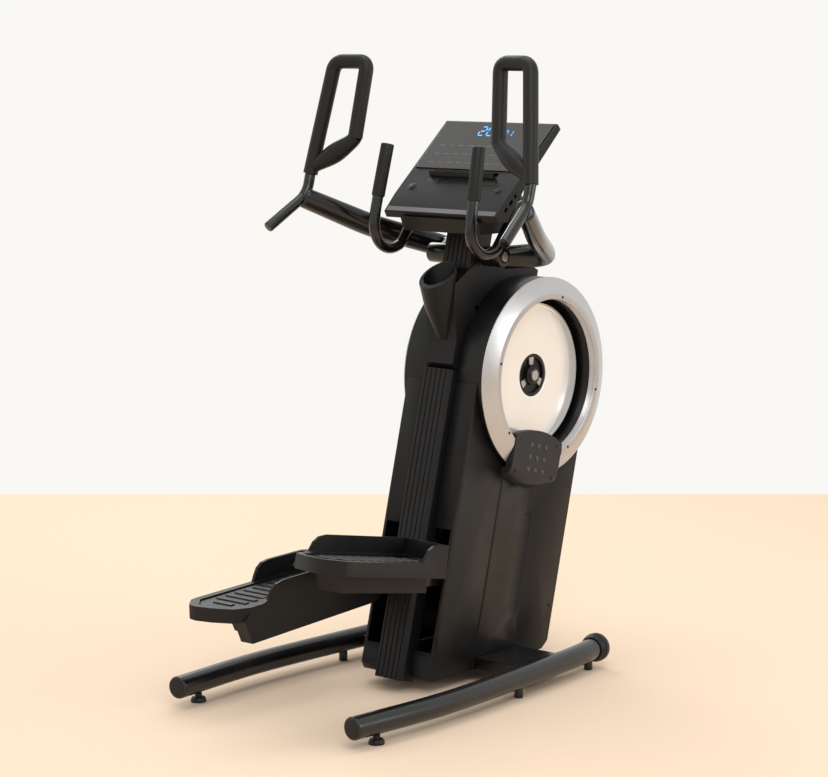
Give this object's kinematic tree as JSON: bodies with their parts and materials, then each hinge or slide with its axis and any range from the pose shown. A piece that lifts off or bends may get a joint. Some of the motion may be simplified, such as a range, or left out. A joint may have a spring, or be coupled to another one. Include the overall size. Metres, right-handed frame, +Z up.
{
  "type": "vertical climber machine",
  "caption": "Upright climbing trainer: two foot pedals on parallel links, swinging looped arms, fixed grips, tilted console, and a bright spinning disc in a leaning column.",
  "frame": {"origin": "floor level under the middle of the bounding box", "axes": "+X the user's right, +Y the way the user faces (towards the column), +Z up"},
  "size_m": [0.8914, 1.39, 1.7895],
  "materials": {
    "black_paint": "black paint, satin gloss",
    "gloss_black": "black paint, high gloss",
    "casing_plastic": "charcoal moulded plastic, fine grain",
    "drum_plastic": "near-black moulded plastic",
    "grip_rubber": "matte black rubber",
    "ring_silver": "satin silver paint over a plastic moulding",
    "disc_chrome": "mirror",
    "steel": "brushed",
    "pad_grey": "dark grey, matte",
    "console_lens": "glossy black",
    "belt_rubber": "matte black"
  },
  "bodies": {
    "frame": {"arm_axle": "steel", "base_frame": "black_paint", "brake_motor": "black_paint", "console_bracket_cover": "casing_plastic", "console_face": "console_lens", "console_housing": "casing_plastic", "drive_belt": "belt_rubber", "fan_grille": "drum_plastic", "front_shroud": "casing_plastic", "left_base_rail": "black_paint", "left_bump_pad": "pad_grey", "left_drum_cover": "drum_plastic", "left_fixed_grip": "gloss_black", "left_grip_sleeve": "grip_rubber", "left_levelling_foot": "grip_rubber", "left_rail_front_cap": "grip_rubber", "left_ring": "ring_silver", "left_side_casing": "casing_plastic", "link_post": "black_paint", "mast": "black_paint", "neck_cover": "casing_plastic", "rear_shroud": "casing_plastic", "right_base_rail": "black_paint", "right_bump_pad": "pad_grey", "right_drum_cover": "drum_plastic", "right_fixed_grip": "gloss_black", "right_grip_sleeve": "grip_rubber", "right_levelling_foot": "grip_rubber", "right_rail_front_cap": "grip_rubber", "right_ring": "ring_silver", "right_side_casing": "casing_plastic", "tablet_ledge": "grip_rubber", "upper_housing": "casing_plastic"},
    "right_lower_link": {"right_lower_link": "black_paint"},
    "right_upper_link": {"right_upper_link": "black_paint"},
    "right_pedal": {"right_pedal_arm": "black_paint", "right_pedal_tray": "casing_plastic", "right_foot_pad": "grip_rubber"},
    "right_rod": {"right_rod": "steel"},
    "right_arm": {"right_arm": "gloss_black", "right_loop_grip": "grip_rubber"},
    "right_console_button": {"right_console_button": "grip_rubber"},
    "left_lower_link": {"left_lower_link": "black_paint"},
    "left_upper_link": {"left_upper_link": "black_paint"},
    "left_pedal": {"left_pedal_arm": "black_paint", "left_pedal_tray": "casing_plastic", "left_foot_pad": "grip_rubber"},
    "left_rod": {"left_rod": "steel"},
    "left_arm": {"left_arm": "gloss_black", "left_loop_grip": "grip_rubber"},
    "left_console_button": {"left_console_button": "grip_rubber"},
    "crank": {"crank": "steel", "drive_pulley": "steel", "right_disc": "disc_chrome", "left_disc": "disc_chrome", "right_disc_hub": "drum_plastic", "left_disc_hub": "drum_plastic"},
    "flywheel": {"flywheel": "steel"},
    "brake_yoke": {"brake_yoke": "steel"}
  },
  "joints": [
    {"name": "right_link_swing", "type": "hinge", "parent": "frame", "child": "right_lower_link", "pos_m": [0, 0.29, 0.305], "axis": [-1, 0, 0], "range_deg": [-28.2, 21.8]},
    {"name": "left_link_swing", "type": "hinge", "parent": "frame", "child": "left_lower_link", "pos_m": [0, 0.29, 0.305], "axis": [-1, 0, 0], "range_deg": [-21.8, 28.2]},
    {"name": "right_upper_link_swing", "type": "hinge", "parent": "frame", "child": "right_upper_link", "pos_m": [0, 0.29, 0.375], "axis": [-1, 0, 0], "range_deg": [-28.2, 21.8]},
    {"name": "left_upper_link_swing", "type": "hinge", "parent": "frame", "child": "left_upper_link", "pos_m": [0, 0.29, 0.375], "axis": [-1, 0, 0], "range_deg": [-21.8, 28.2]},
    {"name": "right_pedal_level", "type": "hinge", "parent": "right_lower_link", "child": "right_pedal", "pos_m": [0, 0.01543, 0.32035], "axis": [-1, 0, 0], "range_deg": [-21.8, 28.2]},
    {"name": "left_pedal_level", "type": "hinge", "parent": "left_lower_link", "child": "left_pedal", "pos_m": [0, 0.01543, 0.28965], "axis": [-1, 0, 0], "range_deg": [-28.2, 21.8]},
    {"name": "right_rod_swing", "type": "hinge", "parent": "right_lower_link", "child": "right_rod", "pos_m": [0, 0.1602, 0.31226], "axis": [-1, 0, 0], "range_deg": [-21.8, 28.2]},
    {"name": "left_rod_swing", "type": "hinge", "parent": "left_lower_link", "child": "left_rod", "pos_m": [0, 0.1602, 0.29774], "axis": [-1, 0, 0], "range_deg": [-28.2, 21.8]},
    {"name": "right_arm_swing", "type": "hinge", "parent": "frame", "child": "right_arm", "pos_m": [0, 0.228, 1.217], "axis": [-1, 0, 0], "range_deg": [-10.9, 14.1]},
    {"name": "left_arm_swing", "type": "hinge", "parent": "frame", "child": "left_arm", "pos_m": [0, 0.228, 1.217], "axis": [-1, 0, 0], "range_deg": [-14.1, 10.9]},
    {"name": "crank_spin", "type": "hinge", "parent": "frame", "child": "crank", "pos_m": [0, 0.4038, 0.8575], "axis": [1, 0, 0], "continuous": true},
    {"name": "flywheel_spin", "type": "hinge", "parent": "frame", "child": "flywheel", "pos_m": [0, 0.333, 0.504], "axis": [1, 0, 0], "continuous": true},
    {"name": "brake_swing", "type": "hinge", "parent": "frame", "child": "brake_yoke", "pos_m": [0, 0.47, 0.59], "axis": [1, 0, 0], "range_deg": [0, 6]},
    {"name": "right_console_button_press", "type": "slide", "parent": "frame", "child": "right_console_button", "axis": [0, 0.6494, -0.7604], "range_m": [0, 0.002], "stiffness_N_per_m": 400},
    {"name": "left_console_button_press", "type": "slide", "parent": "frame", "child": "left_console_button", "axis": [0, 0.6494, -0.7604], "range_m": [0, 0.002], "stiffness_N_per_m": 400}
  ],
  "couplings": [
    {"joint": "left_link_swing", "follows": "right_link_swing", "ratio": -1},
    {"joint": "right_upper_link_swing", "follows": "right_link_swing", "ratio": 1},
    {"joint": "left_upper_link_swing", "follows": "right_link_swing", "ratio": -1},
    {"joint": "right_pedal_level", "follows": "right_link_swing", "ratio": -1},
    {"joint": "left_pedal_level", "follows": "right_link_swing", "ratio": 1},
    {"joint": "right_rod_swing", "follows": "right_link_swing", "ratio": -1},
    {"joint": "left_rod_swing", "follows": "right_link_swing", "ratio": 1},
    {"joint": "right_arm_swing", "follows": "right_link_swing", "ratio": -0.5},
    {"joint": "left_arm_swing", "follows": "right_link_swing", "ratio": 0.5},
    {"joint": "flywheel_spin", "follows": "crank_spin", "ratio": 6.0465}
  ]
}
